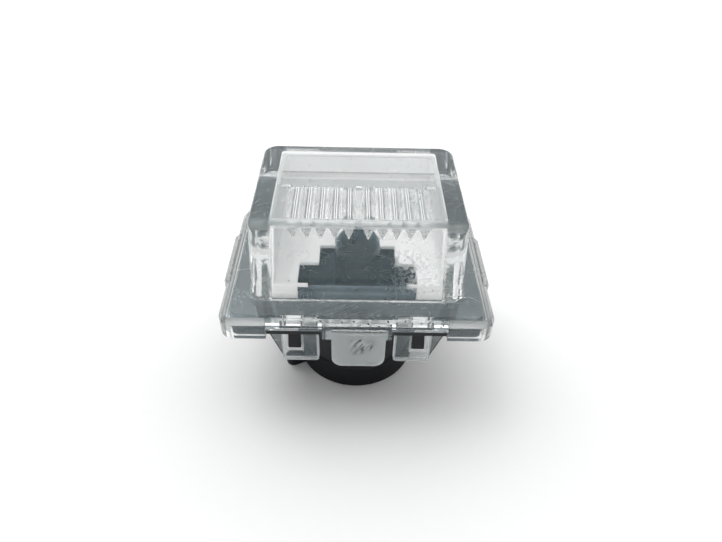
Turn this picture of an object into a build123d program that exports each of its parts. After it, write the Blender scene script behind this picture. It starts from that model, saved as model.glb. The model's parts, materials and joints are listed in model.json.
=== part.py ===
from build123d import *
import math
import os

os.makedirs("parts", exist_ok=True)

# Millimetres. +Z points up through the window, the latch side faces -Y, X runs along the window.
# The lamp stands on its bulb holder at Z = 0.

# Lens: flange tray
flange_width = 56.6
flange_depth = 39.5
flange_back_y = 20.0
flange_corner_r = 3.0
flange_height = 5.0
flange_wall = 2.0
flange_bevel = 1.05
skirt_wall = 1.7
pad_proud = 0.65
pad_length = 15.3
pad_offset_y = 0.9
ejector_r = 3.0
ejector_depth = 0.15
ejector_x = 23.2
ejector_inset = 4.9

# Lens: box window
box_front_land = 6.5
box_back_land = 1.3
box_base_width = 45.2
box_top_width = 42.6
box_height = 18.3
box_corner_r = 3.2
box_front_round = 3.6
box_top_round = 0.6
box_foot_round = 0.9
box_sink = 1.0
pillar_width = 4.55
panel_lean = 1.9
top_wall = 1.3
front_wall = 2.0
back_wall = 1.85
side_wall = 3.9
cavity_corner_r = 0.7

# Lens: ridges under the top
ridge_count_side = 5
ridge_first_x = 1.9
ridge_pitch = 2.75
ridge_half_base = 1.3
ridge_half_tip = 0.12
ridge_depth = 2.9
ridge_length = 12.3
rib_length = 5.0
rib_depth = 1.2
rib_slope = 1.6

# Lens: latch ears behind notches in the skirt, and front tab
notch_inner_x = 7.2
notch_outer_x = 18.7
notch_rise = 2.6
ear_inner_x = 8.0
ear_outer_x = 15.8
ear_drop = 8.3
ear_wall = 1.6
ear_round = 0.8
web_top_x = 18.4
web_wall = 1.0
window_centre_x = 13.1
window_width = 3.0
window_rise = 1.2
window_height = 5.9
tab_x = 0.4
tab_width = 11.2
tab_top_drop = 1.9
tab_drop = 8.5
tab_proud = 0.5
tab_wall = 1.9
tab_round = 2.4
tab_foot_height = 3.4
tab_foot_cut = 0.5

# Clearances
seat_gap = 0.02
slip_gap = 0.15
wall_gap = 0.25

# Lens seal
lens_seal_thick = 1.0
lens_seal_margin = 0.3

# Housing
plate_thick = 1.9
plate_side_margin = 2.0
plate_corner_r = 2.0
bridge_setback = 0.1
bridge_wall = 1.1
bridge_height = 1.1
hook_depth = 1.25
hook_tip_setback = 0.2
hook_ramp_top = 0.5
hook_tip_height = 0.7
shield_setback = 0.3
shield_wall = 0.9
tongue_x = 14.0
tongue_width = 8.0
tongue_thick = 0.8
tongue_reach = 1.3
tongue_root = 1.2

# Bulb axis, collar and bayonet
axis_setback = 8.5
collar_outer_r = 13.4
collar_inner_r = 10.6
collar_length = 12.6
gusset_angles = [30, 90, 150, 210, 330]
gusset_reach = 3.0
gusset_drop = 7.0
gusset_thick = 1.2
ledge_inner_r = 9.6
ledge_height = 2.0
key_width = 7.0
bayonet_lug_height = 2.0
bayonet_lug_width = 6.4

# Bulb holder
base_r = 13.75
base_height = 6.5
base_round = 0.6
foot_round = 0.2
neck_r = 9.3
wing_angle = 205.0
wing_reach = 18.0
wing_width = 3.4
wing_lift = 1.0
wing_height = 3.4
wing_round = 1.6
socket_length = 15.0
socket_width = 8.6
holder_floor = 2.9
socket_corner_r = 1.2
holder_seal_thick = 1.0
holder_seal_width = 3.5

# Bulb
pinch_width = 9.5
pinch_thick = 2.1
pinch_height = 7.9
pinch_lift = 0.7
pinch_notch_r = 0.7
pinch_notch_rise = 3.2
shoulder_height = 4.5
bulb_r = 4.9
bulb_length = 26.6
bulb_headroom = 2.9
bulb_wall = 0.7
bulb_floor = 4.0
dome_runs = 4
lead_r = 0.18
lead_x = 2.7
lead_foot = 0.35
lead_return = 5.0
filament_rise = 5.5
filament_r = 0.35

# Contacts
contact_width = 2.8
contact_thick = 0.6
contact_recess = 1.0
contact_rise = 6.6
contact_bow = 0.3
contact_flare = 0.5

# Reflector
floor_top_rise = 2.2
floor_thick = 0.8
reflector_wall = 0.8
reflector_front_gap = 0.85
reflector_head_gap = 0.5
reflector_corner_r = 1.2
opening_front_half = 10.4
opening_half = [12.6, 8.4, 5.1]
opening_step = [-6.8, -0.4, 5.4, 8.5]

# Values that follow from those above
collar_bottom_z = base_height + holder_seal_thick
plate_bottom_z = collar_bottom_z + collar_length
plate_top_z = plate_bottom_z + plate_thick
flange_under_z = plate_top_z + lens_seal_thick
flange_top_z = flange_under_z + flange_wall
skirt_bottom_z = flange_top_z - flange_height
flange_front_y = flange_back_y - flange_depth
flange_mid_y = (flange_front_y + flange_back_y) / 2
pad_centre_y = flange_mid_y + pad_offset_y
ejector_y = flange_front_y + ejector_inset
box_front_y = flange_front_y + box_front_land
box_back_y = flange_back_y - box_back_land
skirt_inner_front_y = flange_front_y + skirt_wall
skirt_inner_back_y = flange_back_y - skirt_wall
box_top_z = flange_top_z + box_height
cavity_front_y = box_front_y + front_wall
cavity_head_y = cavity_front_y + panel_lean
ridge_end_y = cavity_head_y + ridge_length
rib_end_y = ridge_end_y + rib_length
axis_y = cavity_front_y + axis_setback
cavity_back_y = box_back_y - back_wall
cavity_mid_y = (cavity_front_y + cavity_back_y) / 2
cavity_depth = cavity_back_y - cavity_front_y
cavity_top_z = box_top_z - top_wall
cavity_base_width = box_base_width - 2 * side_wall
cavity_top_width = box_top_width - 2 * side_wall
bridge_front_y = flange_front_y + bridge_setback
ear_front_y = bridge_front_y + bridge_wall + slip_gap
ear_back_y = ear_front_y + ear_wall
cavity_low_z = plate_top_z
reflector_low_z = plate_top_z + seat_gap
reflector_top_z = cavity_top_z - reflector_head_gap
reflector_inset = slip_gap + reflector_wall
floor_top_z = flange_top_z + floor_top_rise
floor_low_z = floor_top_z - floor_thick
bulb_top_z = cavity_top_z - ridge_depth - bulb_headroom
pinch_bottom_z = bulb_top_z - bulb_length
pinch_top_z = pinch_bottom_z + pinch_height
slot_bottom_z = pinch_bottom_z - pinch_lift
socket_depth = slot_bottom_z - holder_floor
neck_top_z = pinch_top_z - slip_gap


def slab(width, depth, low, high, corner, x=0.0, y=0.0):
    """Upright block with rounded vertical edges."""
    outline = Plane.XY.offset(low) * Pos(x, y) * RectangleRounded(width, depth, corner)
    return extrude(outline, high - low)


def brick(x0, x1, y0, y1, z0, z1):
    """Plain block between two corners."""
    block = Box(x1 - x0, y1 - y0, z1 - z0)
    return Pos((x0 + x1) / 2, (y0 + y1) / 2, (z0 + z1) / 2) * block


def drum(radius, low, high, x=0.0, y=0.0):
    """Upright cylinder between two heights."""
    return Pos(x, y, (low + high) / 2) * Cylinder(radius, high - low)


def turned(points, y):
    """Outline in radius and Z, turned about the upright axis at y."""
    face = make_face(Polyline(*[(pr, 0, pz) for pr, pz in points], close=True))
    return Pos(0, y, 0) * revolve(face, Axis.Z)


def side_profile(points, y0, y1):
    """Outline in X and Z, carried from y0 to y1."""
    face = make_face(Polyline(*[(px, 0, pz) for px, pz in points], close=True))
    return Pos(0, y1, 0) * extrude(face, y1 - y0, dir=(0, -1, 0))


def cross_profile(points, x0, x1):
    """Outline in Y and Z, carried from x0 to x1."""
    face = make_face(Polyline(*[(0, py, pz) for py, pz in points], close=True))
    return Pos(x0, 0, 0) * extrude(face, x1 - x0, dir=(1, 0, 0))


def drafted(base_width, z0, top_width, z1, y0, y1):
    """Block whose two ends lean in towards the top."""
    outline = [(-base_width / 2, z0), (base_width / 2, z0), (top_width / 2, z1), (-top_width / 2, z1)]
    return side_profile(outline, y0, y1)


def dome_side(radius, foot_z):
    """Quarter round in radius and Z, in straight runs, from its foot to its top."""
    turns = [math.pi / 2 * number / dome_runs for number in range(dome_runs + 1)]
    return [(radius * math.cos(turn), foot_z + radius * math.sin(turn)) for turn in turns]


def hollow_share(z):
    """A height as a share of the way from the foot of the box's hollow to its top."""
    return (z - cavity_low_z) / (cavity_top_z - cavity_low_z)


def hollow_width(z):
    """Width of the box's hollow at a height."""
    return cavity_base_width + (cavity_top_width - cavity_base_width) * hollow_share(z)


def hollow_front(z):
    """Front of the box's hollow at a height."""
    return cavity_front_y + panel_lean * hollow_share(z)


def hollow_block(low, high, side_gap=0.0, front_gap=0.0, back_gap=0.0):
    """Block that fills the box's hollow between two heights, less a gap at its sides, front and back."""
    low_front = hollow_front(low) + front_gap
    high_front = hollow_front(high) + front_gap
    back = cavity_back_y - back_gap
    low_width = hollow_width(low) - 2 * side_gap
    high_width = hollow_width(high) - 2 * side_gap
    leaning = cross_profile(
        [(low_front, low), (high_front, high), (back, high), (back, low)], -flange_width / 2, flange_width / 2
    )
    return leaning & drafted(low_width, low, high_width, high, box_front_y, box_back_y)


# Flange tray with bevelled rim, and a pad half way along each side
tray = slab(flange_width, flange_depth, skirt_bottom_z, flange_top_z, flange_corner_r, 0, flange_mid_y)
tray = chamfer(tray.faces().sort_by(Axis.Z)[-1].edges(), flange_bevel)
pad_half = flange_width / 2 + pad_proud
pad = side_profile(
    [
        (-pad_half, skirt_bottom_z),
        (pad_half, skirt_bottom_z),
        (pad_half, flange_top_z - flange_bevel),
        (pad_half - flange_bevel, flange_top_z),
        (-pad_half + flange_bevel, flange_top_z),
        (-pad_half, flange_top_z - flange_bevel),
    ],
    pad_centre_y - pad_length / 2,
    pad_centre_y + pad_length / 2,
)
lens = tray + pad

# Box window with drafted ends, rounded edges and a rounded foot
lens += drafted(
    box_base_width, flange_top_z - box_sink, box_top_width, box_top_z, box_front_y, box_back_y
)
box_edges = lens.edges().filter_by_position(Axis.Z, flange_top_z + box_corner_r, box_top_z - box_corner_r)
lens = fillet(box_edges, box_corner_r)
lens = fillet(lens.faces().sort_by(Axis.Z)[-1].edges(), box_top_round)
flange_level = lens.faces().filter_by_position(Axis.Z, flange_top_z - seat_gap, flange_top_z + seat_gap)
flange_face = flange_level.sort_by(SortBy.AREA)[-1]
lens = fillet(flange_face.inner_wires()[0].edges(), box_foot_round)

# Wider rounding along the top of the front, where the light leaves
round_y = box_front_y + box_front_round
round_z = box_top_z - box_front_round
front_corner = brick(
    -box_base_width / 2,
    box_base_width / 2,
    box_front_y - box_sink,
    round_y,
    round_z,
    box_top_z + box_sink,
)
front_roller = Pos(0, round_y, round_z) * Rot(0, 90, 0) * Cylinder(box_front_round, 2 * box_base_width)
lens -= front_corner - front_roller

# Front panel leaning back between two upright pillars, and the ejector's mark beside the box
panel_low_z = flange_top_z + box_foot_round
panel_top_y = box_front_y + panel_lean
recess = cross_profile(
    [
        (box_front_y - box_sink, panel_low_z),
        (box_front_y, panel_low_z),
        (panel_top_y, box_top_z),
        (panel_top_y, box_top_z + box_sink),
        (box_front_y - box_sink, box_top_z + box_sink),
    ],
    -box_base_width / 2,
    box_base_width / 2,
)
recess &= drafted(
    box_base_width - 2 * pillar_width,
    flange_top_z,
    box_top_width - 2 * pillar_width,
    box_top_z + box_sink,
    box_front_y - box_sink,
    panel_top_y,
)
lens -= recess
lens -= drum(ejector_r, flange_top_z - ejector_depth, flange_top_z + ejector_r, ejector_x, ejector_y)

# Hollow of the tray and of the box
lens -= slab(
    flange_width - 2 * skirt_wall,
    flange_depth - 2 * skirt_wall,
    skirt_bottom_z - flange_wall,
    flange_under_z,
    flange_corner_r - skirt_wall,
    0,
    flange_mid_y,
)
cavity = hollow_block(cavity_low_z, cavity_top_z)
lens -= fillet(cavity.edges().group_by(Axis.Z)[1], cavity_corner_r)

# Ridges that hang under the top, on both sides of the middle, and the rib across their ends
ridge_root_z = cavity_top_z + top_wall / 4
ridge = side_profile(
    [
        (-ridge_half_base, ridge_root_z),
        (-ridge_half_base, cavity_top_z),
        (-ridge_half_tip, cavity_top_z - ridge_depth),
        (ridge_half_tip, cavity_top_z - ridge_depth),
        (ridge_half_base, cavity_top_z),
        (ridge_half_base, ridge_root_z),
    ],
    cavity_head_y - front_wall / 4,
    ridge_end_y,
)
for number in range(ridge_count_side):
    ridge_x = ridge_first_x + number * ridge_pitch
    lens += Pos(-ridge_x, 0, 0) * ridge
    lens += Pos(ridge_x, 0, 0) * ridge
rib_half = hollow_width(reflector_top_z) / 2 - reflector_inset - wall_gap
rib = cross_profile(
    [
        (ridge_end_y - seat_gap, ridge_root_z),
        (ridge_end_y - seat_gap, cavity_top_z - rib_depth),
        (rib_end_y - rib_slope, cavity_top_z - rib_depth),
        (rib_end_y, cavity_top_z),
        (rib_end_y, ridge_root_z),
    ],
    -rib_half,
    rib_half,
)
lens += rib

# Notches in the front of the skirt
notch_top_z = skirt_bottom_z + notch_rise
notch = brick(
    notch_inner_x,
    notch_outer_x,
    flange_front_y - skirt_wall,
    skirt_inner_front_y + seat_gap,
    skirt_bottom_z - notch_rise,
    notch_top_z,
)
lens -= notch + mirror(notch, about=Plane.YZ)

# Latch ears behind the notches: a windowed plate with a thin sloping web on its outer edge
ear_bottom_z = skirt_bottom_z - ear_drop
ear_top_z = flange_under_z + flange_wall / 4
web_top_z = plate_bottom_z - slip_gap
window_top_z = skirt_bottom_z + window_rise
window_low_z = window_top_z - window_height
ear_plate = side_profile(
    [
        (ear_inner_x, ear_bottom_z),
        (ear_outer_x, ear_bottom_z),
        (ear_outer_x, ear_top_z),
        (ear_inner_x, ear_top_z),
    ],
    ear_front_y,
    ear_back_y,
)
ear_plate = fillet(ear_plate.edges().filter_by(Axis.Y).group_by(Axis.Z)[0], ear_round)
ear_web = side_profile(
    [
        (ear_outer_x - ear_round, ear_bottom_z + ear_round),
        (ear_outer_x, ear_bottom_z + ear_round),
        (web_top_x, web_top_z),
        (ear_outer_x - ear_round, web_top_z),
    ],
    ear_back_y - web_wall,
    ear_back_y,
)
ear_window = brick(
    window_centre_x - window_width / 2,
    window_centre_x + window_width / 2,
    ear_front_y - ear_wall,
    ear_back_y + ear_wall,
    window_low_z,
    window_top_z,
)
right_ear = ear_plate + ear_web
lens += right_ear + mirror(right_ear, about=Plane.YZ)
lens -= ear_window + mirror(ear_window, about=Plane.YZ)

# Front tab: stands proud of the skirt, with rounded lower corners and a thinner foot
tab_front_y = flange_front_y - tab_proud
tab_back_y = tab_front_y + tab_wall
tab_top_z = flange_top_z - tab_top_drop
tab_bottom_z = skirt_bottom_z - tab_drop
tab = brick(
    tab_x - tab_width / 2, tab_x + tab_width / 2, tab_front_y, tab_back_y, tab_bottom_z, tab_top_z
)
tab = fillet(tab.edges().filter_by(Axis.Y).group_by(Axis.Z)[0], tab_round)
tab -= cross_profile(
    [
        (tab_front_y - tab_wall, tab_bottom_z - tab_round),
        (tab_front_y + tab_foot_cut, tab_bottom_z - tab_round),
        (tab_front_y + tab_foot_cut, tab_bottom_z + tab_foot_height - tab_foot_cut),
        (tab_front_y, tab_bottom_z + tab_foot_height),
        (tab_front_y - tab_wall, tab_bottom_z + tab_foot_height),
    ],
    -tab_width,
    tab_width,
)
lens += tab

# Slots in the back of the skirt for the housing's tongues
tongue_low_z = plate_top_z - tongue_thick
tongue_slot = brick(
    tongue_x - tongue_width / 2 - slip_gap,
    tongue_x + tongue_width / 2 + slip_gap,
    skirt_inner_back_y - skirt_wall,
    flange_back_y + skirt_wall,
    tongue_low_z - slip_gap,
    plate_top_z + slip_gap,
)
lens -= tongue_slot + mirror(tongue_slot, about=Plane.YZ)
lens.label = "lens"

# Flat seal between the flange and the housing plate
plate_half = flange_width / 2 - plate_side_margin
plate_back_y = skirt_inner_back_y - wall_gap
seal_front_y = ear_back_y + slip_gap
seal_outline = Pos(0, (seal_front_y + plate_back_y) / 2) * RectangleRounded(
    2 * plate_half, plate_back_y - seal_front_y, plate_corner_r
)
seal_hole = Pos(0, cavity_mid_y) * RectangleRounded(
    cavity_base_width + 2 * lens_seal_margin, cavity_depth + 2 * lens_seal_margin, cavity_corner_r
)
lens_seal = extrude(
    Plane.XY.offset(plate_top_z + seat_gap) * (seal_outline - seal_hole), lens_seal_thick - 2 * seat_gap
)
lens_seal.label = "lens_seal"

# Housing: plate with a bridge in each notch of the skirt, round a passage for the ear
plate_front_y = skirt_inner_front_y + wall_gap
housing = slab(
    2 * plate_half,
    plate_back_y - plate_front_y,
    plate_bottom_z,
    plate_top_z,
    plate_corner_r,
    0,
    (plate_front_y + plate_back_y) / 2,
)
bridge_top_z = notch_top_z - slip_gap
bridge = brick(
    notch_inner_x + slip_gap,
    notch_outer_x - slip_gap,
    bridge_front_y,
    ear_back_y,
    bridge_top_z - bridge_height,
    bridge_top_z,
)
passage = brick(
    ear_inner_x - slip_gap,
    ear_outer_x + slip_gap,
    bridge_front_y + bridge_wall,
    seal_front_y,
    plate_bottom_z - plate_thick,
    bridge_top_z + plate_thick,
)
housing += bridge + mirror(bridge, about=Plane.YZ)
housing -= passage + mirror(passage, about=Plane.YZ)

# Snap hooks behind the ears and tongues at the back
hook_half = window_width / 2 - slip_gap
hook_low_z = window_low_z + wall_gap
hook_tip_y = ear_front_y + hook_tip_setback
hook = cross_profile(
    [
        (seal_front_y + hook_depth, plate_bottom_z + plate_thick / 2),
        (seal_front_y, plate_bottom_z + plate_thick / 2),
        (seal_front_y, plate_bottom_z - hook_ramp_top),
        (hook_tip_y, hook_low_z + hook_tip_height),
        (hook_tip_y, hook_low_z),
        (seal_front_y + hook_depth, hook_low_z),
    ],
    window_centre_x - hook_half,
    window_centre_x + hook_half,
)
tongue = brick(
    tongue_x - tongue_width / 2,
    tongue_x + tongue_width / 2,
    plate_back_y - tongue_root,
    plate_back_y + tongue_reach,
    tongue_low_z,
    plate_top_z,
)
right_fixings = hook + tongue
housing += right_fixings + mirror(right_fixings, about=Plane.YZ)

# Collar under the plate with a keyed bayonet ledge, stiffened by gussets
collar_top_z = plate_bottom_z + plate_thick / 2
collar = turned(
    [
        (ledge_inner_r, collar_bottom_z + seat_gap),
        (collar_outer_r, collar_bottom_z + seat_gap),
        (collar_outer_r, collar_top_z),
        (ledge_inner_r, collar_top_z),
    ],
    axis_y,
)
gusset_root_r = (collar_outer_r + collar_inner_r) / 2
gusset = side_profile(
    [
        (gusset_root_r, collar_top_z),
        (collar_outer_r + gusset_reach, collar_top_z),
        (collar_outer_r + gusset_reach, plate_bottom_z),
        (collar_outer_r, plate_bottom_z - gusset_drop),
        (gusset_root_r, plate_bottom_z - gusset_drop),
    ],
    -gusset_thick / 2,
    gusset_thick / 2,
)
housing += collar
for angle in gusset_angles:
    housing += Pos(0, axis_y, 0) * Rot(0, 0, angle) * gusset
ledge_top_z = collar_bottom_z + ledge_height
housing -= drum(collar_inner_r, ledge_top_z, plate_top_z + plate_thick, 0, axis_y)
housing -= brick(
    -key_width / 2,
    key_width / 2,
    axis_y - collar_inner_r,
    axis_y + collar_inner_r,
    collar_bottom_z - ledge_height,
    ledge_top_z + ledge_height,
)

# Shield that closes the notch in the front of the reflector, under its floor
shield_front_y = cavity_front_y + reflector_front_gap + shield_setback
housing += brick(
    -opening_half[0] + slip_gap,
    opening_half[0] - slip_gap,
    shield_front_y,
    shield_front_y + shield_wall,
    plate_bottom_z + plate_thick / 2,
    floor_low_z - slip_gap,
)
housing.label = "housing"

# Ring between the holder's base and the collar
seal_top_z = base_height + holder_seal_thick
holder_seal = turned(
    [
        (ledge_inner_r, base_height + seat_gap),
        (ledge_inner_r + holder_seal_width, base_height + seat_gap),
        (ledge_inner_r + holder_seal_width, seal_top_z),
        (ledge_inner_r, seal_top_z),
    ],
    axis_y,
)
holder_seal.label = "holder_seal"

# Bulb holder: turned base and neck, two grip wings, two bayonet lugs
bulb_holder = turned(
    [
        (0, 0),
        (base_r - foot_round, 0),
        (base_r, foot_round),
        (base_r, base_height - base_round),
        (base_r - base_round, base_height),
        (neck_r, base_height),
        (neck_r, neck_top_z - base_round),
        (neck_r - base_round, neck_top_z),
        (0, neck_top_z),
    ],
    axis_y,
)
wing = Pos((base_r + wing_reach) / 2 - wing_round, 0, wing_lift + wing_height / 2) * Box(
    wing_reach - base_r + 2 * wing_round, wing_width, wing_height
)
wing = fillet(wing.edges().filter_by(Axis.Z).group_by(Axis.X)[-1], wing_round)
wing = chamfer(wing.faces().sort_by(Axis.Z)[-1].edges(), base_round)
wing_pair = wing + Rot(0, 0, 180) * wing
bulb_holder += Pos(0, axis_y, 0) * Rot(0, 0, wing_angle) * wing_pair
lug_low_z = ledge_top_z + slip_gap
lug_ring = drum(collar_inner_r - slip_gap, lug_low_z, lug_low_z + bayonet_lug_height, 0, axis_y)
lug_bar = brick(
    -collar_inner_r,
    collar_inner_r,
    axis_y - bayonet_lug_width / 2,
    axis_y + bayonet_lug_width / 2,
    lug_low_z - slip_gap,
    lug_low_z + bayonet_lug_height + slip_gap,
)
bulb_holder += lug_ring & lug_bar

# Plug socket from below and the bulb's slot from above
bulb_holder -= slab(socket_length, socket_width, -base_height, socket_depth, socket_corner_r, 0, axis_y)
bulb_holder -= brick(
    -pinch_width / 2 - slip_gap,
    pinch_width / 2 + slip_gap,
    axis_y - pinch_thick / 2 - slip_gap,
    axis_y + pinch_thick / 2 + slip_gap,
    slot_bottom_z,
    neck_top_z + pinch_lift,
)

# Contacts: a bowed spring on each face of the pinch, running down into the socket as a blade
contact_in = pinch_thick / 2 + 2 * lead_r + 2 * seat_gap
contact_root = contact_in + contact_bow
contact_head = contact_in + contact_flare
contact_reach = max(contact_root, contact_head) + contact_thick + seat_gap
contact_bend_z = slot_bottom_z + pinch_lift
contact_touch_z = pinch_bottom_z + lead_return / 2
contact_top_z = pinch_bottom_z + contact_rise
contact_right = Pos(0, axis_y, 0) * cross_profile(
    [
        (contact_root, contact_recess),
        (contact_root, contact_bend_z),
        (contact_in, contact_touch_z),
        (contact_head, contact_top_z),
        (contact_head + contact_thick, contact_top_z),
        (contact_in + contact_thick, contact_touch_z),
        (contact_root + contact_thick, contact_bend_z),
        (contact_root + contact_thick, contact_recess),
    ],
    lead_x - contact_width / 2,
    lead_x + contact_width / 2,
)
contact_right = chamfer(contact_right.edges().filter_by(Axis.Y).group_by(Axis.Z)[0], contact_width / 4)
half_turn = Pos(0, axis_y, 0) * Rot(0, 0, 180) * Pos(0, -axis_y, 0)
contact_left = half_turn * contact_right
contact_pocket = brick(
    lead_x - contact_width / 2 - seat_gap,
    lead_x + contact_width / 2 + seat_gap,
    axis_y,
    axis_y + contact_reach,
    slot_bottom_z,
    neck_top_z + pinch_lift,
)
contact_slit = brick(
    lead_x - contact_width / 2 - seat_gap,
    lead_x + contact_width / 2 + seat_gap,
    axis_y + contact_root - seat_gap,
    axis_y + contact_root + contact_thick + seat_gap,
    socket_depth - contact_thick,
    slot_bottom_z + contact_thick,
)
contact_room = contact_pocket + contact_slit
bulb_holder -= contact_room + half_turn * contact_room
bulb_holder.label = "bulb_holder"
contact_right.label = "contact_right"
contact_left.label = "contact_left"

# Bulb: flat pinch with a notch in each edge, shoulder, round envelope with a domed end
tube_low_z = pinch_top_z + shoulder_height
dome_z = bulb_top_z - bulb_r
bulb_glass = brick(
    -pinch_width / 2,
    pinch_width / 2,
    axis_y - pinch_thick / 2,
    axis_y + pinch_thick / 2,
    pinch_bottom_z,
    pinch_top_z,
)
pinch_notch = Pos(pinch_width / 2, axis_y, pinch_bottom_z + pinch_notch_rise) * Rot(90, 0, 0)
pinch_notch = pinch_notch * Cylinder(pinch_notch_r, 2 * pinch_thick)
bulb_glass -= pinch_notch + mirror(pinch_notch, about=Plane.YZ)
squeeze = cross_profile(
    [
        (axis_y - pinch_thick / 2, pinch_top_z),
        (axis_y + pinch_thick / 2, pinch_top_z),
        (axis_y + bulb_r, tube_low_z),
        (axis_y + bulb_r, dome_z),
        (axis_y - bulb_r, dome_z),
        (axis_y - bulb_r, tube_low_z),
    ],
    -bulb_r,
    bulb_r,
)
bulb_glass += drum(bulb_r, pinch_top_z, dome_z, 0, axis_y) & squeeze
bulb_glass += turned([(0, dome_z)] + dome_side(bulb_r, dome_z), axis_y)
hollow_r = bulb_r - bulb_wall
hollow_low_z = pinch_top_z + bulb_floor
hollow_side = [(0, hollow_low_z), (hollow_r, hollow_low_z)] + dome_side(hollow_r, dome_z)
bulb_glass -= turned(hollow_side, axis_y)

# Leads: down the face of the pinch, under its end and up through it to the filament
filament_z = hollow_low_z + filament_rise
lead_face_y = axis_y + pinch_thick / 2 + lead_r + seat_gap
lead_foot_z = pinch_bottom_z - lead_foot
lead_points = [
    (lead_x, lead_face_y, pinch_bottom_z + lead_return),
    (lead_x, lead_face_y, lead_foot_z),
    (lead_x, axis_y, lead_foot_z),
    (lead_x, axis_y, filament_z - filament_r - seat_gap),
]
lead_end = Plane(origin=lead_points[0], z_dir=(0, 0, -1))
lead_right = sweep(lead_end * Circle(lead_r), path=Polyline(*lead_points), transition=Transition.RIGHT)
lead_left = half_turn * lead_right
lead_bore = drum(
    lead_r + seat_gap, lead_foot_z, hollow_low_z + bulb_wall, lead_x, axis_y
)
bulb_glass -= lead_bore + mirror(lead_bore, about=Plane.YZ)
bulb_glass.label = "bulb_glass"
lead_right.label = "lead_right"
lead_left.label = "lead_left"

# Filament: a fine close coil, its outer form, across the tops of the two leads
filament_half = lead_x + lead_r
filament = Pos(0, axis_y, filament_z) * Rot(0, 90, 0) * Cylinder(filament_r, 2 * filament_half)
filament.label = "filament"

# Reflector: fills the box's hollow, with a room under its floor and another over it, open at the front
reflector = hollow_block(reflector_low_z, reflector_top_z, slip_gap, reflector_front_gap, wall_gap)
reflector = fillet(reflector.edges().group_by(Axis.Z)[1], cavity_corner_r)
inner_back_y = cavity_back_y - wall_gap - reflector_wall
reflector -= hollow_block(
    reflector_low_z - floor_thick,
    floor_low_z,
    reflector_inset,
    reflector_front_gap + reflector_wall,
    wall_gap + reflector_wall,
)
upper_room = drafted(
    hollow_width(floor_top_z) - 2 * reflector_inset,
    floor_top_z,
    hollow_width(cavity_top_z) - 2 * reflector_inset,
    cavity_top_z,
    box_front_y,
    inner_back_y,
)
upper_corners = upper_room.edges().group_by(Axis.Z)[1].group_by(Axis.Y)[-1]
reflector -= fillet(upper_corners, reflector_corner_r)
opening_y = [axis_y + step for step in opening_step]
opening_side = [(opening_front_half, box_front_y), (opening_front_half, opening_y[0])]
for half, low_y, high_y in zip(opening_half, opening_y, opening_y[1:]):
    opening_side += [(half, low_y), (half, high_y)]
opening_outline = opening_side + [(-px, py) for px, py in reversed(opening_side)]
opening_face = make_face(Polyline(*opening_outline, close=True))
reflector -= extrude(Plane.XY.offset(floor_low_z - seat_gap) * opening_face, floor_thick + 2 * seat_gap)
front_notch_y = hollow_front(floor_low_z) + reflector_front_gap + reflector_wall
reflector -= brick(
    -opening_half[0],
    opening_half[0],
    box_front_y,
    front_notch_y + seat_gap,
    reflector_low_z - floor_thick,
    floor_low_z,
)
reflector.label = "reflector"

for piece in (
    lens,
    lens_seal,
    housing,
    holder_seal,
    bulb_holder,
    contact_left,
    contact_right,
    bulb_glass,
    lead_left,
    lead_right,
    filament,
    reflector,
):
    export_step(piece, f"parts/{piece.label}.step")
    print(piece.label, round(piece.volume, 1), piece.bounding_box())
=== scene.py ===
# %% [markdown]
# Number plate lamp.
# A car's number plate lamp is a small sealed box: a clear moulded lens snapped over a black housing, with a white
# reflector and a little wedge-base bulb inside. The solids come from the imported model, in metres, and every piece
# below is a finished copy of one of them or a fine detail that rides on it.

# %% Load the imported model
import json
import math

import bmesh
import bpy
from mathutils import Matrix, Vector

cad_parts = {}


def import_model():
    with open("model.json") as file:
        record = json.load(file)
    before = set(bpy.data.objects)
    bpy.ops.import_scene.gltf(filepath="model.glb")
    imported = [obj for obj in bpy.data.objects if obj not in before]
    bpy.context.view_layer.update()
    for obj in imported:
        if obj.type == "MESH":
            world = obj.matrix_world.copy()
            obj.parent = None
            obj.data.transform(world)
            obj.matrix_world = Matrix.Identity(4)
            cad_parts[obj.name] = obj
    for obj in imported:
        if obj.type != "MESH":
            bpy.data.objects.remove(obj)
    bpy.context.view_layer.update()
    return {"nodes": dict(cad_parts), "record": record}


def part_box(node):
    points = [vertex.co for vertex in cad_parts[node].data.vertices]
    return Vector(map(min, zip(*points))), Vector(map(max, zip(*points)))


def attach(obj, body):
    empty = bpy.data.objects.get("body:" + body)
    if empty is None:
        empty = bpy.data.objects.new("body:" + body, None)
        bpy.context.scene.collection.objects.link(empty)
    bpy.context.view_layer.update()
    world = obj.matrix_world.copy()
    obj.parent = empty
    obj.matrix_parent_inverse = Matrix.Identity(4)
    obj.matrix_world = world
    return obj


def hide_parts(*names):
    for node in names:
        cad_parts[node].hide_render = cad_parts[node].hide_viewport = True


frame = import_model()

MM = 0.001
print("nodes:", sorted(frame["nodes"]))

# %% [markdown]
# The camera stands where the photograph was taken: close to the lamp, a little left of its middle, looking down at
# about forty degrees. Its three angles are turned into right, up and forward directions, which is plainer to follow
# than Euler angles when the camera is also slightly rolled.

# %% Viewing directions
camera_place = Vector((-1.3, -96.2, 107.6)) * MM
look_down = math.radians(41.77)
look_right = math.radians(1.32)
camera_roll = math.radians(1.74)

forward = Vector(
    (
        math.sin(look_right) * math.cos(look_down),
        math.cos(look_right) * math.cos(look_down),
        -math.sin(look_down),
    )
)
level_right = Vector((math.cos(look_right), -math.sin(look_right), 0.0))
level_up = level_right.cross(forward)
camera_right = math.cos(camera_roll) * level_right + math.sin(camera_roll) * level_up
camera_up = math.cos(camera_roll) * level_up - math.sin(camera_roll) * level_right
print("camera looks along", [round(part, 3) for part in forward])

# %% [markdown]
# A camera object looks down its own minus Z, so the three directions, with forward turned round, are the columns of
# its rotation. The lens comes from the focal length in pixels, as a fit to the photograph gives it.

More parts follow.
